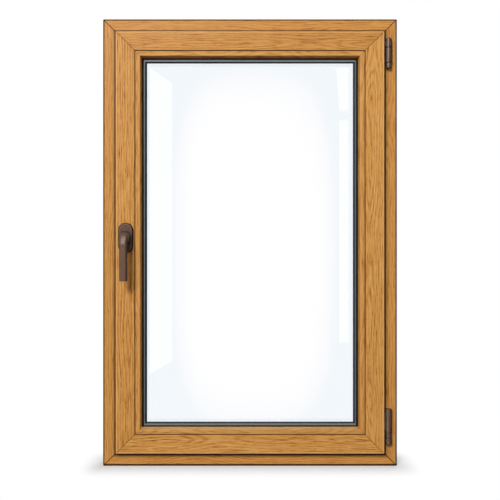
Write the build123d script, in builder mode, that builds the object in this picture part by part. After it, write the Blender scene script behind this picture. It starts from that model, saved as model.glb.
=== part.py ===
"""Tilt-and-turn PVC window with one glazed sash, a lever handle and two hinges.

Millimetres. X runs along the sill, to the right as seen from the room, +Y points to the
weather side and +Z up. The origin is the middle of the frame's underside.
Sections are drawn in (u, y): u is the distance inwards from the frame's outer edge.
"""

import os

from build123d import *

# Overall size of the frame
window_width = 750
window_height = 1140

# Extruded walls of all the hollow profiles
wall = 2.8
web = 1.5
edge_radius = 2.5
small_radius = 0.8
corner_radius = 3
seam_width = 1.1

# Frame profile: hollow body with a stop on the weather side
frame_depth = 70
frame_face = 42
stop_height = 20
stop_thickness = 14
stop_slope = 4
fixing_groove_width = 9
fixing_groove_depth = 4
fixing_groove_spacing = 38

# Sash profile: body, lip over the frame on the room side, glazing leg on the weather side
lip_overlap = 8
lip_projection = 15
hardware_gap = 12
hardware_groove_width = 16
hardware_groove_depth = 4
hardware_groove_offset = 9
sash_body = 29
leg_height = 17
leg_thickness = 15
leg_slope = 4

# Rubber seals
seal_gap = 3.5
seal_groove_width = 3.4
seal_groove_depth = 3.6
seal_play = 0.2
seal_lip = 4
bead_seal_width = 12
bead_seal_crown = 5
bead_seal_grip = 8

# Insulating glass unit
pane_thickness = 4
cavity = 16
glass_clearance = 5.5
spacer_inset = 5
spacer_height = 7

# Glazing beads
bead_play = 0.3
bead_face = 13
bead_slope = 3
bead_setback = 2
bead_slot_width = 5
bead_slot_depth = 4
bead_slot_offset = 6
bead_wall = 1.8
bead_seam_width = 0.5

# Handle
handle_height = 581.5
handle_inset = 26.5
rosette_length = 77
rosette_width = 37
rosette_thickness = 11
rosette_bevel = 2.5
journal_diameter = 18
journal_play = 0.08
journal_depth = 8
lever_gap = 0.4
neck_width = 26.8
neck_height = 29
grip_width = 20
grip_thickness = 13.5
grip_standoff = 48
bend_radius = 24
lever_softness = 0.42
lever_reach = 108
tip_bevel = 1.5

# Hinges
hinge_width = 15.5
hinge_setback = 11.5
hinge_standoff = 9.5
hinge_joint = 0.5
hinge_bevel = 1
pin_diameter = 6
pin_play = 0.1
pin_grip = 14
lug_thickness = 5
lug_margin = 5
upper_hinge_drop = 16
upper_knuckle_height = 24.5
upper_knuckle_round = 5
upper_bearing_height = 38
upper_cap_height = 14
upper_cap_diameter = 14
lower_hinge_rise = 23.5
lower_pivot_height = 14.5
lower_collar_height = 15
lower_collar_diameter = 14.6
lower_collar_groove = 1
lower_band_height = 60
lower_band_bevel = 2

# Drain outlets in the sill
drain_spacing = 440
drain_height = 20
drain_slot_length = 30
drain_slot_width = 5
drain_cap_length = 44
drain_cap_width = 14
drain_cap_thickness = 4
drain_cap_bevel = 1.5
drain_play = 0.25
drain_mouth_length = 24
drain_mouth_width = 3
drain_mouth_depth = 2.5

# Depths of the faces, from the room side to the weather side
room_y = -frame_depth / 2
weather_y = frame_depth / 2
stop_y = weather_y - stop_thickness
sash_room_y = room_y - lip_projection
lip_back_y = room_y - seal_gap
sash_weather_y = stop_y - seal_gap
leg_y = sash_weather_y - leg_thickness
glass_weather_y = leg_y - seal_gap
glass_room_y = glass_weather_y - 2 * pane_thickness - cavity
bead_back_y = glass_room_y - seal_gap
bead_room_y = sash_room_y + bead_setback
bead_slot_y = bead_room_y + bead_slot_offset

# Distances inwards from the frame's outer edge
stop_edge = frame_face + stop_height
lip_edge = frame_face - lip_overlap
body_edge = frame_face + hardware_gap
rebate = body_edge + sash_body
leg_edge = rebate + leg_height
glass_edge = rebate + glass_clearance
bead_edge = rebate + bead_play
bead_shoulder = bead_edge + bead_face
sight_line = bead_shoulder + bead_slope

# One plane across each side, u inwards and y to the weather side
side_planes = {
    "bottom": Plane((0, 0, 0), x_dir=(0, 0, 1), z_dir=(-1, 0, 0)),
    "left": Plane((-window_width / 2, 0, window_height / 2), x_dir=(1, 0, 0), z_dir=(0, 0, 1)),
    "top": Plane((0, 0, window_height), x_dir=(0, 0, -1), z_dir=(1, 0, 0)),
    "right": Plane((window_width / 2, 0, window_height / 2), x_dir=(-1, 0, 0), z_dir=(0, 0, -1)),
}
side_lengths = {
    "bottom": window_width,
    "left": window_height,
    "top": window_width,
    "right": window_height,
}

os.makedirs("parts", exist_ok=True)


def save(part, name):
    """Labels a finished piece and writes it under its own name."""
    part.label = name
    export_step(part, f"parts/{name}.step")


def facing_room(x, y, z):
    """A plane at this point that faces the room, x to the right and y up."""
    return Plane((x, y, z), x_dir=(1, 0, 0), z_dir=(0, -1, 0))


def facing_down(x, y, z):
    """A level plane at this point that faces down, x to the right."""
    return Plane((x, y, z), x_dir=(1, 0, 0), z_dir=(0, 0, -1))


def cut_slot(u, y, width, depth):
    """Cuts a slot of this size, centred on a point of the open sketch."""
    with Locations((u, y)):
        Rectangle(width, depth, mode=Mode.SUBTRACT)


def cut_chambers(u_start, u_end, y_start, y_end, shares):
    """Cuts a row of chambers, a web apart, that share out the depth."""
    free = y_end - y_start - web * (len(shares) - 1)
    y = y_start
    for share in shares:
        size = free * share / sum(shares)
        cut_slot((u_start + u_end) / 2, y + size / 2, u_end - u_start, size)
        y += size + web


def frame_section():
    """Draws the frame profile with its chambers."""
    outline = [
        (0, room_y),
        (frame_face, room_y),
        (frame_face, stop_y),
        (stop_edge, stop_y),
        (stop_edge - stop_slope, weather_y),
        (0, weather_y),
    ]
    with BuildLine() as contour:
        FilletPolyline(
            outline,
            radius=[edge_radius, small_radius, 0, small_radius, edge_radius, edge_radius],
            close=True,
        )
    make_face(contour.edges())
    for y in (-fixing_groove_spacing / 2, fixing_groove_spacing / 2):
        cut_slot(fixing_groove_depth / 2, y, fixing_groove_depth, fixing_groove_width)
    seal_u = stop_edge - seal_lip
    cut_slot(seal_u, stop_y + seal_groove_depth / 2, seal_groove_width, seal_groove_depth)
    inner = fixing_groove_depth + wall
    cut_chambers(inner, frame_face - wall, room_y + wall, weather_y - wall, (2, 5, 2, 2))
    cut_chambers(
        frame_face - wall + web,
        seal_u - seal_groove_width / 2 - wall,
        stop_y + wall,
        weather_y - wall,
        (1,),
    )


def sash_section():
    """Draws the sash profile with its chambers."""
    outline = [
        (lip_edge, sash_room_y),
        (rebate, sash_room_y),
        (rebate, leg_y),
        (leg_edge, leg_y),
        (leg_edge - leg_slope, sash_weather_y),
        (body_edge, sash_weather_y),
        (body_edge, lip_back_y),
        (lip_edge, lip_back_y),
    ]
    with BuildLine() as contour:
        FilletPolyline(
            outline,
            radius=[
                edge_radius,
                edge_radius / 2,
                0,
                small_radius,
                edge_radius,
                small_radius,
                0,
                small_radius,
            ],
            close=True,
        )
    make_face(contour.edges())
    cut_slot(
        rebate - bead_slot_depth / 2,
        bead_slot_y + bead_slot_width / 2,
        bead_slot_depth,
        bead_slot_width,
    )
    cut_slot(
        body_edge + hardware_groove_depth / 2,
        lip_back_y + hardware_groove_offset + hardware_groove_width / 2,
        hardware_groove_depth,
        hardware_groove_width,
    )
    lip_seal_u = lip_edge + seal_lip
    cut_slot(lip_seal_u, lip_back_y - seal_groove_depth / 2, seal_groove_width, seal_groove_depth)
    leg_seal_u = leg_edge - seal_lip
    cut_slot(leg_seal_u, leg_y + seal_groove_depth / 2, seal_groove_width, seal_groove_depth)
    inner = body_edge + hardware_groove_depth + wall
    outer = rebate - bead_slot_depth - wall
    cut_chambers(inner, outer, lip_back_y, sash_weather_y - wall, (3, 2, 2))
    cut_chambers(
        lip_seal_u + seal_groove_width / 2 + wall,
        outer,
        sash_room_y + wall,
        lip_back_y - web,
        (1,),
    )
    cut_chambers(
        outer + web,
        leg_seal_u - seal_groove_width / 2 - wall,
        leg_y + wall,
        sash_weather_y - wall,
        (1,),
    )


def bead_section():
    """Draws a glazing bead with the foot that snaps into the sash."""
    outline = [
        (bead_edge, bead_room_y),
        (bead_shoulder, bead_room_y),
        (sight_line, bead_back_y),
        (bead_edge, bead_back_y),
    ]
    with BuildLine() as contour:
        FilletPolyline(outline, radius=[small_radius, edge_radius, small_radius, 0], close=True)
    make_face(contour.edges())
    foot_width = bead_slot_width - 2 * bead_play
    with Locations((bead_edge, bead_slot_y + bead_slot_width / 2)):
        Rectangle(2 * (bead_slot_depth - bead_play), foot_width)
    cut_chambers(
        bead_edge + bead_wall,
        bead_shoulder - bead_wall,
        bead_room_y + bead_wall,
        bead_back_y - bead_wall,
        (2, 3),
    )


def seal_foot(u, y, direction):
    """Adds the foot that holds a seal in its groove, on either side of the seal."""
    depth = seal_groove_depth - seal_play
    with Locations((u, y + direction * depth / 2)):
        Rectangle(seal_groove_width - 2 * seal_play, depth)


def frame_seal_section():
    """Draws the seal on the frame's stop, pressed against the sash."""
    with BuildLine() as contour:
        Polyline(
            (stop_edge - 2 * seal_lip, stop_y),
            (stop_edge - small_radius, stop_y),
            (stop_edge + small_radius, sash_weather_y),
            (stop_edge - seal_lip, sash_weather_y),
            close=True,
        )
    make_face(contour.edges())
    seal_foot(stop_edge - seal_lip, stop_y, 1)


def sash_seal_section():
    """Draws the seal behind the sash's lip, pressed against the frame."""
    with BuildLine() as contour:
        Polyline(
            (lip_edge + seal_lip / 3, lip_back_y),
            (lip_edge + 2 * seal_lip - small_radius, lip_back_y),
            (lip_edge + seal_lip, room_y),
            (lip_edge + small_radius, room_y),
            close=True,
        )
    make_face(contour.edges())
    seal_foot(lip_edge + seal_lip, lip_back_y, -1)


def leg_seal_section():
    """Draws the glazing seal between the sash's leg and the outer pane."""
    with BuildLine() as contour:
        Polyline(
            (leg_edge - 2 * seal_lip, glass_weather_y),
            (leg_edge + seal_lip, glass_weather_y),
            (leg_edge + seal_lip, glass_weather_y + small_radius / 2),
            (leg_edge - small_radius, leg_y),
            (leg_edge - 2 * seal_lip, leg_y),
            close=True,
        )
    make_face(contour.edges())
    seal_foot(leg_edge - seal_lip, leg_y, 1)


def bead_seal_section():
    """Draws the broad rounded seal between the beads and the inner pane."""
    far_edge = sight_line + bead_seal_width
    with BuildLine() as contour:
        Polyline(
            (sight_line + small_radius / 2, glass_room_y - seal_gap / 2),
            (sight_line - small_radius, bead_back_y),
            (sight_line - bead_seal_grip, bead_back_y),
            (sight_line - bead_seal_grip, glass_room_y),
            (far_edge, glass_room_y),
            (far_edge, glass_room_y - small_radius),
        )
        ThreePointArc(
            (far_edge, glass_room_y - small_radius),
            (sight_line + bead_seal_width / 2, glass_room_y - bead_seal_crown),
            (sight_line + small_radius / 2, glass_room_y - seal_gap / 2),
        )
    make_face(contour.edges())


def finish_member(side, outer_u, seam_faces, seam):
    """Mitres a straight member, rounds its outer corners and opens its weld seams."""
    plane = side_planes[side]
    for end in (-1, 1):
        corner = plane.origin + plane.z_dir * (end * side_lengths[side] / 2)
        split(bisect_by=Plane(corner, z_dir=plane.x_dir + plane.z_dir * end), keep=Keep.BOTTOM)
        for y in seam_faces:
            start = corner + Vector(0, y, 0)
            across = Plane(start, x_dir=(0, 1, 0), z_dir=plane.x_dir - plane.z_dir * end)
            with BuildSketch(across) as groove:
                Rectangle(seam, seam, rotation=45)
            extrude(groove.sketch, amount=2 * sight_line, mode=Mode.SUBTRACT)
    with BuildSketch(facing_room(0, 0, window_height / 2)) as face:
        RectangleRounded(window_width - 2 * outer_u, window_height - 2 * outer_u, corner_radius)
    extrude(face.sketch, amount=2 * frame_depth, both=True, mode=Mode.INTERSECT)


def ring_path(u):
    """Draws the closed path of a seal, starting in the middle of the sill."""
    half_width = window_width / 2 - u
    half_height = window_height / 2 - u
    Polyline(
        (0, -half_height),
        (-half_width, -half_height),
        (-half_width, half_height),
        (half_width, half_height),
        (half_width, -half_height),
        close=True,
    )


# Frame: four hollow lengths, mitred and welded
frame_members = {
    "bottom": "frame_sill",
    "left": "frame_left_jamb",
    "top": "frame_head",
    "right": "frame_right_jamb",
}
for side, name in frame_members.items():
    with BuildPart() as frame_member:
        with BuildSketch(side_planes[side]):
            frame_section()
        extrude(amount=side_lengths[side] / 2, both=True)
        finish_member(side, 0, (room_y, weather_y), seam_width)
        if name == "frame_sill":
            with BuildSketch(facing_room(0, weather_y, drain_height)):
                with GridLocations(drain_spacing, 0, 2, 1):
                    SlotOverall(drain_slot_length, drain_slot_width)
            extrude(amount=2 * wall, mode=Mode.SUBTRACT)
    save(frame_member.part, name)

# Sash: four hollow lengths, mitred and welded
sash_members = {
    "bottom": "sash_bottom_rail",
    "left": "sash_left_stile",
    "top": "sash_top_rail",
    "right": "sash_right_stile",
}
for side, name in sash_members.items():
    with BuildPart() as sash_member:
        with BuildSketch(side_planes[side]):
            sash_section()
        extrude(amount=side_lengths[side] / 2, both=True)
        finish_member(side, lip_edge, (sash_room_y, sash_weather_y), seam_width)
    save(sash_member.part, name)

# Glazing beads: four lengths, cut to a mitre and snapped in
beads = {"bottom": "bead_bottom", "left": "bead_left", "top": "bead_top", "right": "bead_right"}
for side, name in beads.items():
    with BuildPart() as bead:
        with BuildSketch(side_planes[side]):
            bead_section()
        extrude(amount=side_lengths[side] / 2, both=True)
        finish_member(side, lip_edge, (bead_room_y,), bead_seam_width)
    save(bead.part, name)

# Seals: one closed ring each, with mitred corners
seals = {
    "frame_seal": (frame_seal_section, stop_edge),
    "sash_seal": (sash_seal_section, lip_edge),
    "outer_glazing_seal": (leg_seal_section, leg_edge),
    "inner_glazing_seal": (bead_seal_section, sight_line),
}
for name, (section, u) in seals.items():
    with BuildPart() as seal:
        with BuildLine(facing_room(0, 0, window_height / 2)) as path:
            ring_path(u)
        with BuildSketch(side_planes["bottom"]):
            section()
        sweep(path=path.wire(), transition=Transition.RIGHT)
    save(seal.part, name)

# Insulating glass unit: two panes on a spacer
glass_width = window_width - 2 * glass_edge
glass_height = window_height - 2 * glass_edge
panes = {"outer_pane": glass_weather_y, "inner_pane": glass_room_y + pane_thickness}
for name, y in panes.items():
    with BuildPart() as pane:
        with BuildSketch(facing_room(0, y, window_height / 2)):
            Rectangle(glass_width, glass_height)
        extrude(amount=pane_thickness)
    save(pane.part, name)

with BuildPart() as glass_spacer:
    with BuildSketch(facing_room(0, glass_weather_y - pane_thickness, window_height / 2)):
        Rectangle(glass_width - 2 * spacer_inset, glass_height - 2 * spacer_inset)
        inset = spacer_inset + spacer_height
        Rectangle(glass_width - 2 * inset, glass_height - 2 * inset, mode=Mode.SUBTRACT)
    extrude(amount=cavity)
save(glass_spacer.part, "glass_spacer")

# Handle: oval rosette on the left stile with a lever that turns in it
handle_x = -window_width / 2 + lip_edge + handle_inset
rosette_face_y = sash_room_y - rosette_thickness
with BuildPart() as handle_rosette:
    with BuildSketch(facing_room(handle_x, sash_room_y, handle_height)):
        SlotOverall(rosette_length, rosette_width, rotation=90)
    extrude(amount=rosette_thickness)
    chamfer(faces().sort_by(Axis.Y)[0].edges(), rosette_bevel)
    with BuildSketch(facing_room(handle_x, sash_room_y, handle_height)):
        Circle(journal_diameter / 2 + journal_play)
    extrude(amount=rosette_thickness, mode=Mode.SUBTRACT)
save(handle_rosette.part, "handle_rosette")

neck_y = rosette_face_y - lever_gap
grip_y = sash_room_y - grip_standoff
bend_y = grip_y + bend_radius
bend_z = handle_height - bend_radius
neck_start = facing_room(handle_x, neck_y, handle_height)
neck_end = facing_room(handle_x, bend_y, handle_height)
grip_start = facing_down(handle_x, grip_y, bend_z)


def lever_section(width, height):
    """Draws the lever's softly rounded section."""
    RectangleRounded(width, height, min(width, height) * lever_softness)


with BuildPart() as handle_lever:
    with BuildLine(Plane((handle_x, 0, 0), x_dir=(0, -1, 0), z_dir=(-1, 0, 0))) as elbow_path:
        CenterArc((-bend_y, bend_z), bend_radius, 0, 90)
    with BuildSketch(neck_end):
        lever_section(neck_width, neck_height)
    with BuildSketch(grip_start):
        lever_section(grip_width, grip_thickness)
    sweep(path=elbow_path.wire(), multisection=True)
    with BuildSketch(neck_start):
        lever_section(neck_width, neck_height)
    extrude(amount=neck_y - bend_y)
    with BuildSketch(grip_start):
        lever_section(grip_width, grip_thickness)
    extrude(amount=lever_reach - bend_radius)
    chamfer(faces().sort_by(Axis.Z)[0].edges(), tip_bevel)
    with BuildSketch(facing_room(handle_x, neck_y, handle_height)):
        Circle(journal_diameter / 2)
    extrude(amount=-journal_depth)
save(handle_lever.part, "handle_lever")

# Hinges on the right: their axis runs down the frame beside the sash's edge
hinge_x = window_width / 2 - lip_edge + hinge_setback
hinge_y = room_y - hinge_standoff
upper_top = window_height - lip_edge - upper_hinge_drop
upper_knuckle_z = upper_top - upper_knuckle_height
upper_bearing_z = upper_knuckle_z - hinge_joint - upper_bearing_height
upper_cap_z = upper_bearing_z - hinge_joint - upper_cap_height
lower_pivot_z = lip_edge + lower_hinge_rise
lower_collar_z = lower_pivot_z + lower_pivot_height + hinge_joint
lower_band_z = lower_collar_z + lower_collar_height + hinge_joint


def hinge_plane(z):
    """The level plane at this height, centred on the hinge axis."""
    return Plane((hinge_x, hinge_y, z))


def bearing_section():
    """Draws a round bearing with flat cheeks back to the frame's face."""
    Circle(hinge_width / 2)
    with Locations((0, hinge_standoff / 2)):
        Rectangle(hinge_width, hinge_standoff)


def add_lug(z, height):
    """Adds the lug that carries a knuckle on the sash's edge."""
    with BuildSketch(hinge_plane(z)) as lug:
        with Locations((-hinge_setback / 2, 0)):
            Rectangle(hinge_setback, lug_thickness)
    extrude(lug.sketch, amount=height)


def cut_bore(z, depth):
    """Bores a hinge piece upwards from this height for the pin."""
    with BuildSketch(hinge_plane(z)) as bore:
        Circle(pin_diameter / 2 + pin_play)
    extrude(bore.sketch, amount=depth, mode=Mode.SUBTRACT)


with BuildPart() as upper_hinge_knuckle:
    with BuildSketch(hinge_plane(upper_knuckle_z)):
        Circle(hinge_width / 2)
    extrude(amount=upper_knuckle_height)
    fillet(faces().sort_by(Axis.Z)[-1].edges(), upper_knuckle_round)
    add_lug(upper_knuckle_z + lug_margin, upper_knuckle_height - 3 * lug_margin)
    cut_bore(upper_knuckle_z, pin_grip + pin_play)
save(upper_hinge_knuckle.part, "upper_hinge_knuckle")

with BuildPart() as upper_hinge_bearing:
    with BuildSketch(hinge_plane(upper_bearing_z)):
        bearing_section()
    extrude(amount=upper_bearing_height)
    chamfer(faces().sort_by(Axis.Y)[0].edges().filter_by(GeomType.CIRCLE), small_radius)
    cut_bore(upper_bearing_z, upper_bearing_height)
save(upper_hinge_bearing.part, "upper_hinge_bearing")

with BuildPart() as upper_hinge_pin:
    with BuildSketch(hinge_plane(upper_cap_z)):
        Circle(upper_cap_diameter / 2)
    extrude(amount=upper_cap_height)
    chamfer(edges(), hinge_bevel)
    with BuildSketch(hinge_plane(upper_cap_z + upper_cap_height)):
        Circle(pin_diameter / 2)
    extrude(amount=upper_bearing_height + 2 * hinge_joint + pin_grip)
save(upper_hinge_pin.part, "upper_hinge_pin")

with BuildPart() as lower_hinge_pivot:
    with BuildSketch(hinge_plane(lower_pivot_z)):
        bearing_section()
    extrude(amount=lower_pivot_height)
    chamfer(faces().sort_by(Axis.Y)[0].edges().filter_by(GeomType.CIRCLE), small_radius)
    with BuildSketch(hinge_plane(lower_pivot_z + lower_pivot_height)):
        Circle(pin_diameter / 2)
    extrude(amount=lower_collar_height + 2 * hinge_joint + pin_grip)
save(lower_hinge_pivot.part, "lower_hinge_pivot")

with BuildPart() as lower_hinge_collar:
    with BuildSketch(hinge_plane(lower_collar_z)):
        Circle(lower_collar_diameter / 2)
    extrude(amount=lower_collar_height)
    with BuildSketch(hinge_plane(lower_collar_z + (lower_collar_height - lower_collar_groove) / 2)):
        Circle(lower_collar_diameter / 2)
        Circle(lower_collar_diameter / 2 - lower_collar_groove, mode=Mode.SUBTRACT)
    extrude(amount=lower_collar_groove, mode=Mode.SUBTRACT)
    cut_bore(lower_collar_z, lower_collar_height)
save(lower_hinge_collar.part, "lower_hinge_collar")

with BuildPart() as lower_hinge_band:
    with BuildSketch(hinge_plane(lower_band_z)):
        Circle(hinge_width / 2)
    extrude(amount=lower_band_height)
    chamfer(faces().sort_by(Axis.Z)[-1].edges(), lower_band_bevel)
    add_lug(lower_band_z + lug_margin, lower_band_height - 3 * lug_margin)
    cut_bore(lower_band_z, pin_grip + pin_play)
save(lower_hinge_band.part, "lower_hinge_band")

# Drain caps: hoods clipped into the outlets on the weather side of the sill
for name, side in (("drain_cap_left", -1), ("drain_cap_right", 1)):
    cap_plane = facing_room(side * drain_spacing / 2, weather_y, drain_height)
    with BuildPart() as drain_cap:
        with BuildSketch(cap_plane):
            SlotOverall(drain_cap_length, drain_cap_width)
        extrude(amount=-drain_cap_thickness)
        chamfer(faces().sort_by(Axis.Y)[-1].edges(), drain_cap_bevel)
        with BuildSketch(cap_plane):
            SlotOverall(drain_slot_length - 2 * drain_play, drain_slot_width - 2 * drain_play)
        extrude(amount=wall)
        with BuildSketch(cap_plane.offset(-drain_cap_thickness)):
            with Locations((0, -drain_cap_width / 4)):
                SlotOverall(drain_mouth_length, drain_mouth_width)
        extrude(amount=drain_mouth_depth, mode=Mode.SUBTRACT)
    save(drain_cap.part, name)
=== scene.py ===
from math import radians

import bmesh
import bpy
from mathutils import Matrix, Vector


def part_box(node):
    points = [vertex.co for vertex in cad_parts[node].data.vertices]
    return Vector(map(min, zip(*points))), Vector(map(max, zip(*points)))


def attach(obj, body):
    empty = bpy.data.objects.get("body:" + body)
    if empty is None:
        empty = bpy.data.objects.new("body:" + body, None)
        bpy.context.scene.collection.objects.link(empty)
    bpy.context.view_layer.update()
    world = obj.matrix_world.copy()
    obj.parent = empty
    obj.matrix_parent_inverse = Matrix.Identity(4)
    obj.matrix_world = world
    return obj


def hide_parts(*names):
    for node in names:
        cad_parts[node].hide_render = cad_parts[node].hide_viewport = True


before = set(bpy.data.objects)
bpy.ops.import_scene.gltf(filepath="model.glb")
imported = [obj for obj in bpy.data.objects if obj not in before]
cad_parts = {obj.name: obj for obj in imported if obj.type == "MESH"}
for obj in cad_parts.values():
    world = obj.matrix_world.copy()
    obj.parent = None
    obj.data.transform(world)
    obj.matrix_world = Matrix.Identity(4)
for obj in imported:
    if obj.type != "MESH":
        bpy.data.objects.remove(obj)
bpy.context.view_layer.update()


# Outer frame: four lengths of hollow PVC profile, cut to a mitre and welded.
# The room and weather faces carry a golden oak foil that returns a few millimetres round the
# edge; the sides against the wall show the caramel-brown PVC itself.
class Shade:
    """One socket of a material: arithmetic on it adds Math nodes to the same tree."""

    def __init__(self, socket):
        self.socket = socket
        self.tree = socket.id_data

    def make(self, kind, settings=None, inputs=None, output=0):
        """Adds a node, sets it up, then gives its sockets their values or links."""
        node = self.tree.nodes.new("ShaderNode" + kind)
        for name, value in (settings or {}).items():
            if name == "stops":
                while len(node.color_ramp.elements) < len(value):
                    node.color_ramp.elements.new(1)
                for element, (position, colour) in zip(node.color_ramp.elements, value):
                    element.position = position
                    element.color = colour
            else:
                setattr(node, name, value)
        for key, value in (inputs or {}).items():
            if isinstance(value, Shade):
                self.tree.links.new(value.socket, node.inputs[key])
            else:
                node.inputs[key].default_value = value
        return Shade(node.outputs[output])

    def math(self, operation, *others):
        return self.make("Math", {"operation": operation}, dict(enumerate((self, *others))))

    def __add__(self, other):
        return self.math("ADD", other)

    def __radd__(self, other):
        return self.math("ADD", other)

    def __sub__(self, other):
        return self.math("SUBTRACT", other)

    def __rsub__(self, other):
        return (self * -1).math("ADD", other)

    def __mul__(self, other):
        return self.math("MULTIPLY", other)

    def __rmul__(self, other):
        return self.math("MULTIPLY", other)

    def __abs__(self):
        return self.math("ABSOLUTE")

    def part(self, name):
        """Another output of the node that this socket belongs to."""
        return Shade(self.socket.node.outputs[name])

    def axes(self):
        """These coordinates taken apart, as the parts X, Y and Z."""
        return self.make("SeparateXYZ", inputs={"Vector": self})

    def rise(self, low, high):
        """0 below low, 1 above high, smooth between them."""
        return self.make(
            "MapRange",
            {"interpolation_type": "SMOOTHSTEP"},
            {"Value": self, "From Min": low, "From Max": high},
        )

    def fall(self, low, high):
        """1 below low, 0 above high, smooth between them."""
        return 1 - self.rise(low, high)

    def stripe(self, middle, half, end):
        """1 up to half away from middle, 0 beyond end away from it."""
        return abs(self - middle).fall(half, end)

    def reach(self, other):
        """The distance to a point that lies this far one way and other the other way."""
        return (self * self + other * other).math("SQRT")

    def noise(self, stretch, detail=3.0, roughness=0.55):
        """Noise on these coordinates, stretched by this many cells a metre each way."""
        scaled = self.make("VectorMath", {"operation": "MULTIPLY"}, {0: self, 1: stretch})
        return self.make(
            "TexNoise",
            inputs={"Vector": scaled, "Scale": 1.0, "Detail": detail, "Roughness": roughness},
        )

    def ramp(self, *stops):
        """A colour picked by this value from stops, each a position and a colour."""
        return self.make("ValToRGB", {"stops": stops}, {"Fac": self})

    def blend(self, amount, colour):
        """This colour turning into another by amount."""
        return self.make("Mix", {"data_type": "RGBA"}, {0: amount, 6: self, 7: colour}, 2)

    def feed(self, socket):
        self.tree.links.new(self.socket, socket)


def srgb(red, green, blue):
    """A colour as a screen shows it, 0 to 255, as Blender's linear colour."""
    linear = []
    for level in (red, green, blue):
        part = level / 255
        linear.append(part / 12.92 if part <= 0.04045 else ((part + 0.055) / 1.055) ** 2.4)
    return (*linear, 1.0)


def new_finish(name, roughness, gloss=0.5):
    """A new material with its shader and the object coordinates it is drawn in."""
    material = bpy.data.materials.new(name)
    material.use_nodes = True
    shader = material.node_tree.nodes["Principled BSDF"]
    shader.inputs["Roughness"].default_value = roughness
    shader.inputs["Specular IOR Level"].default_value = gloss
    place = Shade(material.node_tree.nodes.new("ShaderNodeTexCoord").outputs["Object"])
    return material, shader, place


def bump(place, height, distance, strength, shader):
    """Raises the surface by height, up to distance in metres."""
    relief = place.make(
        "Bump", inputs={"Height": height, "Distance": distance, "Strength": strength}
    )
    relief.feed(shader.inputs["Normal"])


def set_up(name, shape, material):
    """A new object from a finished bmesh, which is used up."""
    mesh = bpy.data.meshes.new(name)
    shape.to_mesh(mesh)
    shape.free()
    mesh.materials.append(material)
    thing = bpy.data.objects.new(name, mesh)
    bpy.context.scene.collection.objects.link(thing)
    return thing


same_point = 1e-6
crease = radians(50)


def dress(node, material, body="window"):
    """A welded, smooth-shaded copy of a CAD node in this finish, in the node's place."""
    shape = bmesh.new()
    shape.from_mesh(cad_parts[node].data)
    bmesh.ops.remove_doubles(shape, verts=shape.verts, dist=same_point)
    for edge in shape.edges:
        edge.smooth = edge.calc_face_angle(0) < crease
    for face in shape.faces:
        face.smooth = True
    piece = set_up(node + "_skin", shape, material)
    even = piece.modifiers.new("flat_faces_stay_flat", "WEIGHTED_NORMAL")
    even.keep_sharp = True
    even.weight = 100
    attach(piece, body)
    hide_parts(node)


half_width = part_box("frame_right_jamb")[1].x
half_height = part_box("frame_head")[1].z / 2
oak_tones = [
    (0.0, srgb(116, 62, 22)),
    (0.3, srgb(174, 112, 51)),
    (0.5, srgb(202, 142, 70)),
    (0.72, srgb(215, 158, 86)),
    (1.0, srgb(228, 174, 104)),
]
seam_brown = srgb(82, 44, 8)
# the dark brown of painted shade: shade lines, grooves and the outer edge
shade_brown = srgb(44, 24, 8)
core_brown = srgb(112, 68, 32)
foil_roughness = 0.42
foil_gloss = 0.1
foil_step = 1.7  # metres of foil from one member's cut to the next
ring_turn = 1050  # radians a metre, so a growth ring about every 6 mm
pore_depth = 0.00012
# marks on the foil, in metres: full up to the first value, gone at the second
weld_seam = (0.0008, 0.002)
# painted shade along the window's outer edge
outer_edge_shade_band = (0.0028, 0.0044)
outer_skin = (0.0002, 0.0006)
bare_depth = (0.0295, 0.0305)
room_half = (-0.02, 0.0)


def from_outline(place):
    """Distances in from the window's sides and from its ends, and the depth."""
    spot = place.axes()
    from_side = half_width - abs(spot.part("X"))
    from_end = half_height - abs(spot.part("Z") - half_height)
    return from_side, from_end, spot.part("Y")


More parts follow.
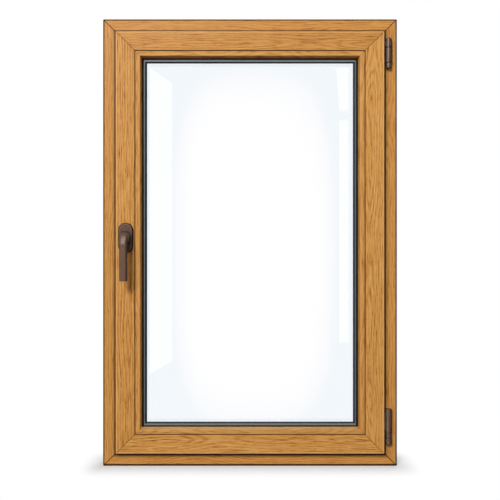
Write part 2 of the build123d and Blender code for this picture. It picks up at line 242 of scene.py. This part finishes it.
def oak_foil(node, cut, figure, seam, lines, tone=0.49):
    """Oak foil for one member: grain along it, its own figure and tone, a weld seam, painted
    lines of shade and highlight, and painted shade along the outer edge.

    The cut says where on the printed roll the member's length comes from. A line is its colour,
    its middle, its half width and its soft edge, in metres in from the window's outline, and
    its strength.
    """
    low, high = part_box(node)
    middle = (low + high) / 2
    upright = high.z - low.z > high.x - low.x
    material, shader, place = new_finish("oak_foil_" + node, foil_roughness, foil_gloss)
    turn = (0, 0, 0) if upright else (0, radians(90), 0)
    shift = (-middle.x if upright else -middle.z, 0, cut * foil_step)
    grain = place.make("Mapping", inputs={"Vector": place, "Rotation": turn, "Location": shift})
    # growth rings cut lengthways: long pointed arches where the cut nears the tree's heart
    heart = grain.noise((2, 2, 2.2), 1.0) - 0.5
    sway = grain.noise((4, 4, 2.2), 1.0) - 0.5
    waver = grain.noise((60, 60, 9), 3.0)
    radius = (grain.axes().part("X") + sway * 0.05).reach(heart * 0.13)
    rings = ((radius * ring_turn + waver * 7).math("SINE") * 0.5 + 0.5).math("POWER", 2.0)
    fibre = grain.noise((600, 600, 18), 4.0, 0.72)
    streak = grain.noise((210, 210, 8), 3.0)
    pores = grain.noise((560, 560, 40), 2.0).rise(0.52, 0.66)
    vessels = grain.noise((1300, 1300, 60), 2.0, 0.6).rise(0.56, 0.68)
    cloud = grain.noise((18, 18, 2.0), 2.0)
    marks = (
        0.13
        - rings * 0.19
        + (fibre - 0.5) * 2.0
        + (streak - 0.5) * 0.4
        + (cloud - 0.5) * 0.2
        - pores * (0.1 + rings * 0.15)
        - vessels * (0.17 + rings * 0.18)
    )
    colour = (tone + marks * figure).ramp(*oak_tones)
    from_side, from_end, depth = from_outline(place)
    inset = from_side.math("MINIMUM", from_end)
    colour = colour.blend(from_side.stripe(from_end, *weld_seam) * seam, seam_brown)
    room_side = depth.fall(*room_half)
    for line_colour, line_middle, half, soft, strength in lines:
        line = inset.stripe(line_middle, half, half + soft) * room_side
        colour = colour.blend(line * strength, line_colour)
    # the window's outer edge darkened as painted shade
    outer_edge_shade = inset.fall(*outer_edge_shade_band)
    colour = colour.blend(outer_edge_shade * 0.94, shade_brown)
    bare = inset.fall(*outer_skin) * abs(depth).fall(*bare_depth)
    colour.blend(bare, core_brown).feed(shader.inputs["Base Color"])
    (0.34 + fibre * 0.16 + outer_edge_shade * 0.4).feed(shader.inputs["Roughness"])
    bump(place, fibre * 0.5 - pores * 0.5 - vessels, pore_depth, 0.5, shader)
    return material


lip_line = 0.034  # where the sash's lip ends; a soft dark line of painted shade runs along it on the frame
# painted shade on each frame member: a soft line and a darker line beside the lip's end, and on
# the sill a dark line along its bottom edge
frame_shade_lines = {
    "frame_sill": [
        (shade_brown, lip_line, 0.005, 0.012, 0.62),
        (shade_brown, lip_line, 0.0045, 0.004, 0.92),
        (shade_brown, 0.0, 0.0042, 0.002, 0.95),
    ],
    "frame_left_jamb": [
        (shade_brown, lip_line, 0.004, 0.009, 0.35),
        (shade_brown, lip_line, 0.0036, 0.003, 0.88),
    ],
    "frame_head": [(shade_brown, lip_line, 0.0042, 0.0036, 0.8)],
    "frame_right_jamb": [
        (shade_brown, lip_line, 0.004, 0.014, 0.4),
        (shade_brown, lip_line, 0.0045, 0.003, 0.92),
    ],
}
frame_cut = 0.3
frame_figure = 0.6
frame_seam = 0.95
for count, (node, lines) in enumerate(frame_shade_lines.items()):
    foil = oak_foil(node, count + frame_cut, frame_figure, frame_seam, lines)
    dress(node, foil)


# Sash: four lengths of a larger hollow profile, mitred and welded the same way.
# Its lip laps over the frame on the room side. The same foil covers both faces, with a grain
# figure of its own on each length and a tone set per length as painted light: lighter on the
# right stile and bottom rail, darker on the left stile and top rail.
# painted shade in the groove where the bead meets the sash
bead_groove_shade = (shade_brown, 0.083, 0.0009, 0.0008, 0.75)
# a pale line of painted highlight along the sash lip's rounded edge
lip_edge_highlight = (srgb(232, 184, 122), 0.0362, 0.0008, 0.0014, 0.5)
# figure, then a tone that is painted light, evening out the lamps from one length to the next
sash_figure_and_painted_tone = {
    "sash_bottom_rail": (1.06, 0.52),
    "sash_left_stile": (0.95, 0.47),
    "sash_top_rail": (0.68, 0.455),
    "sash_right_stile": (0.96, 0.56),
}
sash_cut = 4.6
sash_seam = 0.5
for count, (node, (figure, tone)) in enumerate(sash_figure_and_painted_tone.items()):
    lines = [bead_groove_shade, lip_edge_highlight]
    foil = oak_foil(node, count + sash_cut, figure, sash_seam, lines, tone)
    dress(node, foil)


# Closing seals and the outer glazing seal: black extruded rubber, pressed into grooves in the
# frame's stop, the sash's lip and the sash's glazing leg, and welded at the corners.
bloom_cells = (60, 60, 60)
dust_cells = (700, 700, 700)
dust_height = 0.00005
black_rubber, black_shader, black_place = new_finish("black_rubber", 0.6)
black_bloom = black_place.noise(bloom_cells, 4.0)
black_dust = black_place.noise(dust_cells, 2.0)
(black_bloom * 0.7 + black_dust * 0.3).ramp(
    (0.3, srgb(32.8, 33.62, 35.26)), (0.75, srgb(40, 41, 43))
).feed(black_shader.inputs["Base Color"])
(0.54 + black_bloom * 0.14).feed(black_shader.inputs["Roughness"])
bump(black_place, black_dust, dust_height, 0.3, black_shader)
for node in ("frame_seal", "sash_seal", "outer_glazing_seal"):
    dress(node, black_rubber)


# Double glazing: two panes of float glass on a dark grey plastic spacer bar.
# The unit stands on packers in the sash and is clamped between the seals. The glass's colour is
# painted light: clear white in a soft oval in the middle, with a faint blue tint towards its
# edge.
clear_x, clear_z = 0.01, 0.552
glass, glass_shader, glass_place = new_finish("clear_glass", 0.0)
glass_spot = glass_place.axes()
glass_across = (abs(glass_spot.part("X") - clear_x) * 6.2).math("POWER", 3.2)
glass_along = (abs(glass_spot.part("Z") - clear_z) * 2.74).math("POWER", 3.6)
glass_drift = glass_place.noise((5, 5, 3), 2.0) - 0.5
((glass_across + glass_along).rise(0.7, 2.9) + glass_drift * 0.3).ramp(
    (0.0, (1, 1, 1, 1)),
    (0.45, (0.982, 0.985, 0.995, 1)),
    (1.0, (0.944, 0.965, 0.982, 1)),
).feed(glass_shader.inputs["Base Color"])
glass_shader.inputs["Transmission Weight"].default_value = 1.0
glass_shader.inputs["IOR"].default_value = 1.45
for node in ("outer_pane", "inner_pane"):
    dress(node, glass)

spacer_plastic, spacer_shader, spacer_place = new_finish("spacer_grey", 0.5)
spacer_place.noise((900, 900, 900), 2.0).ramp(
    (0.3, srgb(58, 59, 62)), (0.7, srgb(74, 76, 79))
).feed(spacer_shader.inputs["Base Color"])
dress("glass_spacer", spacer_plastic)


# Inner glazing seal: a broad rubber with a rounded crown, carried by the beads and pressed on
# the glass all round.
# Its colour is painted light: a grey highlight along the crown between flanks painted dark as
# shade, and a paler painted highlight on the level runs.
crown_line = 0.1052
seal_rubber, seal_shader, seal_place = new_finish("grey_rubber", 0.45, 0.18)
seal_sides, seal_ends = from_outline(seal_place)[:2]
seal_level = (seal_sides - seal_ends).rise(-0.002, 0.002)
seal_bloom = seal_place.noise(bloom_cells, 4.0)
seal_dust = seal_place.noise(dust_cells, 2.0)
crown_offset_mm = abs(seal_sides.math("MINIMUM", seal_ends) - crown_line) * 1000
from_crown = crown_offset_mm * (0.27 - seal_level * 0.1)
crown_highlight_and_flank_shade = (from_crown + (seal_bloom - 0.5) * 0.2 + (seal_dust - 0.5) * 0.08).ramp(
    (0.0, srgb(94, 104, 112)),
    (0.34, srgb(84, 93, 101)),
    (0.58, srgb(10, 12, 16)),
)
# painted highlight: the level runs at top and bottom paler along the crown
level_run_highlight = seal_level * from_crown.fall(0.3, 0.55) * 0.3
crown_highlight_and_flank_shade.blend(level_run_highlight, srgb(150, 160, 168)).feed(seal_shader.inputs["Base Color"])
(0.34 + seal_bloom * 0.14).feed(seal_shader.inputs["Roughness"])
bump(seal_place, seal_dust, dust_height, 0.3, seal_shader)
dress("inner_glazing_seal", seal_rubber)


# Glazing beads: slim hollow PVC strips in the same foil, mitred by saw and snapped into the
# sash, so that only a fine line shows where two of them meet.
# a pale line of painted highlight along the bead's shoulder
bead_shoulder_highlight = (srgb(226, 174, 106), 0.0928, 0.0012, 0.003, 0.24)
flank_line = 0.0982
# painted highlight on the bottom bead's sloping flank, painted shade on the top bead's
bead_slope_light_and_shade = {
    "bead_bottom": [(srgb(238, 194, 134), flank_line, 0.001, 0.0006, 0.55)],
    "bead_left": [],
    "bead_top": [(shade_brown, flank_line, 0.0012, 0.0006, 0.25)],
    "bead_right": [],
}
bead_cut = 9.2
bead_figure = 0.7
bead_seam = 0.35
for count, (node, painted_flank_shading) in enumerate(bead_slope_light_and_shade.items()):
    lines = [bead_groove_shade, bead_shoulder_highlight, *painted_flank_shading]
    foil = oak_foil(node, count + bead_cut, bead_figure, bead_seam, lines)
    dress(node, foil)


# Handle: an oval rosette screwed to the left stile and a cast lever that turns in it.
# Both are cast metal with a satin bronze-brown stove paint; the rosette was brushed aslant
# before it was painted.
# dark brown for the joints between parts and for painted shade on the bronze
joint_and_shade_brown = srgb(32, 20, 14)
bronze_edge_highlight = srgb(150, 120, 104)
neck_radius = 0.0152
edge_highlight_line = 0.0042  # in from the rosette's edge
flake_height = 0.00003


def brushed_oval(paint, place, node):
    """Paint on an oval plate: brushed aslant, with a painted highlight near the edge, and
    painted shade round the neck and along the edge.
    """
    low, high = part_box(node)
    middle = (low + high) / 2
    radius = high.x - middle.x
    straight = high.z - middle.z - radius
    spot = place.axes()
    beside = spot.part("X") - middle.x
    beyond = (abs(spot.part("Z") - middle.z) - straight).math("MAXIMUM", 0.0)
    from_edge = radius - beside.reach(beyond)
    above = spot.part("Z") - (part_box("handle_lever")[1].z - neck_radius)
    from_axis = beside.reach(above)
    aslant = place.make("Mapping", inputs={"Vector": place, "Rotation": (0, radians(-45), 0)})
    brushing = aslant.noise((520, 520, 50), 4.0, 0.75).rise(0.36, 0.64)
    paint = paint.blend(brushing * 0.55, joint_and_shade_brown)
    # a ring of painted shadow on the rosette round the lever's neck
    paint = paint.blend(from_axis.stripe(neck_radius, 0.0024, 0.004) * 0.9, joint_and_shade_brown)
    # a pale line of painted highlight near the rosette's edge
    paint = paint.blend(from_edge.stripe(edge_highlight_line, 0.0004, 0.0014) * 0.3, bronze_edge_highlight)
    # painted shade along the rosette's edge
    return paint.blend(from_edge.fall(0.0014, 0.0032) * 0.9, joint_and_shade_brown)


def bronze(node, tone, roughness, gloss, ends=(), leaf_end=-1.0, oval=False):
    """Satin bronze paint with flake, with painted shade on its flanks and left of leaf_end, and
    dark joints at these heights.
    """
    material, shader, place = new_finish("bronze_" + node, roughness, gloss)
    cloud = place.noise((70, 70, 70), 3.0)
    flake = place.noise((2600, 2600, 2600), 1.0)
    shaded = [level * 0.72 for level in tone]
    paint = (0.2 + cloud * 0.5 + flake * 0.3).ramp((0.2, srgb(*shaded)), (0.8, srgb(*tone)))
    normal = place.part("Normal").axes()
    # painted shade: the paint darkened on faces that turn sideways or down
    painted_flank_shading = abs(normal.part("Y")).fall(0.4, 0.98) * normal.part("Z").fall(0.1, 0.6)
    paint = paint.blend(painted_flank_shading * 0.85, joint_and_shade_brown)
    if oval:
        paint = brushed_oval(paint, place, node)
    spot = place.axes()
    for end in ends:
        paint = paint.blend(spot.part("Z").stripe(end, 0.0005, 0.0018) * 0.9, joint_and_shade_brown)
    # painted shade on the hinge leaf left of leaf_end
    leaf_shade = spot.part("X").fall(leaf_end - 0.0005, leaf_end + 0.001)
    paint.blend(leaf_shade * 0.85, joint_and_shade_brown).feed(shader.inputs["Base Color"])
    (roughness - 0.07 + cloud * 0.14 + painted_flank_shading * 0.2 + leaf_shade * 0.4).feed(shader.inputs["Roughness"])
    bump(place, flake, flake_height, 0.2, shader)
    return material


rosette_paint = bronze("handle_rosette", (108, 75, 55), 0.36, 0.2, oval=True)
dress("handle_rosette", rosette_paint)
lever_paint = bronze("handle_lever", (96, 63, 42), 0.4, 0.36)
dress("handle_lever", lever_paint, "handle")


# Hinges: the stay hinge at the top and the corner hinge at the bottom, each a stack of round
# covers on one pin, in the same bronze paint as the handle, with a dark joint at each end.
# The leaf that runs from a cover to the sash lies in the gap, and its paint is darkened there as
# painted shade.
hinge_leaf_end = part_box("lower_hinge_collar")[0].x
for node in (
    "upper_hinge_knuckle",
    "upper_hinge_bearing",
    "upper_hinge_pin",
    "lower_hinge_band",
    "lower_hinge_collar",
    "lower_hinge_pivot",
):
    cover_ends = [corner.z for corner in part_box(node)]
    hinge_paint = bronze(node, (106, 74, 53), 0.3, 0.4, cover_ends, hinge_leaf_end)
    dress(node, hinge_paint)


# Drain caps: small hoods of brown moulded plastic that keep the wind out of the drain slots.
# They are clipped over the outlets on the weather side of the sill.
cap_plastic, cap_shader, cap_place = new_finish("cap_brown", 0.45)
cap_place.noise((400, 400, 400), 3.0).ramp(
    (0.3, srgb(112, 70, 36)), (0.7, srgb(128, 82, 44))
).feed(cap_shader.inputs["Base Color"])
for node in ("drain_cap_left", "drain_cap_right"):
    dress(node, cap_plastic)


# Studio: a pale floor that keeps the window's soft shadow, a white surround for whatever the
# camera, metal and glass see, large soft lamps, and boards beside the camera that give the
# glass its pale bands and the metal its highlights.
def seen_directly(tree):
    """1 where the camera, a reflection or a view through glass meets the surface."""
    path = tree.nodes.new("ShaderNodeLightPath")
    ray = Shade(path.outputs["Is Camera Ray"])
    for other in ("Is Glossy Ray", "Is Transmission Ray"):
        ray = ray.math("MAXIMUM", Shade(path.outputs[other]))
    return ray


frame_half_depth = 0.035
floor_material, floor_shader, floor_place = new_finish("pale_floor", 0.9, 0.0)
floor_shader.inputs["Emission Strength"].default_value = 1.0
floor_spot = floor_place.axes()
beside = (abs(floor_spot.part("X")) - half_width).math("MAXIMUM", 0.0) * 2
ahead = (abs(floor_spot.part("Y")) - frame_half_depth).math("MAXIMUM", 0.0)
# near the window the floor glows less and is greyer, a band of painted shade round its foot on
# top of the real shadow; farther out it glows white
open_floor = beside.reach(ahead).rise(-0.03, 0.13)
seen = seen_directly(floor_shader.id_data)
for level, socket in (
    (0.5 - open_floor * 0.5, "Base Color"),
    (seen * (0.3 + open_floor * 0.7) + (1 - seen) * open_floor * 0.2, "Emission Color"),
):
    grey = level.make("CombineColor", inputs={0: level, 1: level, 2: level})
    grey.feed(floor_shader.inputs[socket])
floor_shape = bmesh.new()
bmesh.ops.create_grid(floor_shape, x_segments=1, y_segments=1, size=12)
floor = set_up("studio_floor", floor_shape, floor_material)
floor.visible_glossy = False

world = bpy.data.worlds.new("studio")
world.use_nodes = True
bpy.context.scene.world = world
backdrop = world.node_tree.nodes["Background"]
backdrop.inputs["Color"].default_value = (1, 1, 1, 1)
(0.15 + seen_directly(world.node_tree) * 0.85).feed(backdrop.inputs["Strength"])

window_middle = Vector((0, 0, half_height))


def lamp(name, place, size, power):
    """A soft lamp, so wide and so tall, that points at the middle of the window."""
    data = bpy.data.lights.new(name, "AREA")
    data.shape = "RECTANGLE"
    data.size, data.size_y = size
    data.energy = power
    light = bpy.data.objects.new(name, data)
    light.location = place
    light.rotation_euler = (window_middle - light.location).to_track_quat("-Z", "Y").to_euler()
    bpy.context.scene.collection.objects.link(light)
    return light


lamp("key", (-1.3, -4.6, 3.0), (1.4, 1.4), 212)
lamp("side", (-1.6, -2.6, 0.75), (0.3, 2.0), 6)
lamp("fill", (1.9, -2.6, 1.0), (2.0, 2.0), 13)
rear = lamp("rear", (0.9, 2.6, 3.0), (2.0, 2.0), 60)
rear.visible_camera = False
rear.visible_transmission = False
rear.visible_glossy = False


def board(name, corners, glow):
    """A flat board that only reflections show, white or black by its glow."""
    material, shader = new_finish(name, 0.9, 0.0)[:2]
    shader.inputs["Base Color"].default_value = (0, 0, 0, 1)
    shader.inputs["Emission Color"].default_value = (1, 1, 1, 1)
    shader.inputs["Emission Strength"].default_value = glow
    shape = bmesh.new()
    bmesh.ops.contextual_create(shape, geom=[shape.verts.new(corner) for corner in corners])
    panel = set_up(name, shape, material)
    panel.visible_camera = False
    panel.visible_diffuse = False
    panel.visible_transmission = False
    panel.visible_shadow = False


band_boards = {
    "left_board": [(-0.42, 0.033), (-0.328, 0.083), (-0.328, 1.252), (-0.42, 1.315)],
    "right_board": [(0.374, 0.163), (0.413, 0.163), (0.413, 1.094), (0.374, 1.094)],
    "upper_right_board": [(0.376, 1.136), (0.413, 1.136), (0.413, 1.315), (0.361, 1.315)],
}
band_y = -1.5
band_glow = 3.6
for name, outline in band_boards.items():
    board(name, [(x, band_y, z) for x, z in outline], band_glow)
dark_x = 1.3
dark_outline = [(-6, -4), (1, -4), (1, 8), (-6, 8)]
board("dark_board", [(dark_x, y, z) for y, z in dark_outline], 0.0)
side_x = -2.2
for name, foot, top, glow in (
    ("low_side_board", -0.9, 0.05, 18.0),
    ("high_side_board", 1.1, 2.0, 12.0),
):
    outline = [(-1.3, foot), (-0.8, foot), (-0.8, top), (-1.3, top)]
    board(name, [(side_x, y, z) for y, z in outline], glow)
roof_z = 2.6
roof_outline = [(-0.9, -1.6), (0.1, -1.6), (0.1, -0.6), (-0.9, -0.6)]
board("roof_board", [(x, y, roof_z) for x, y in roof_outline], 16.0)

camera_data = bpy.data.cameras.new("camera")
camera_data.sensor_width = 36
camera_data.lens = 64.9
camera = bpy.data.objects.new("camera", camera_data)
camera.location = (0.0, -2.335, 0.551)
camera.rotation_euler = (radians(90), 0, 0)
bpy.context.scene.collection.objects.link(camera)
bpy.context.scene.camera = camera
bpy.context.scene.view_settings.view_transform = "Standard"
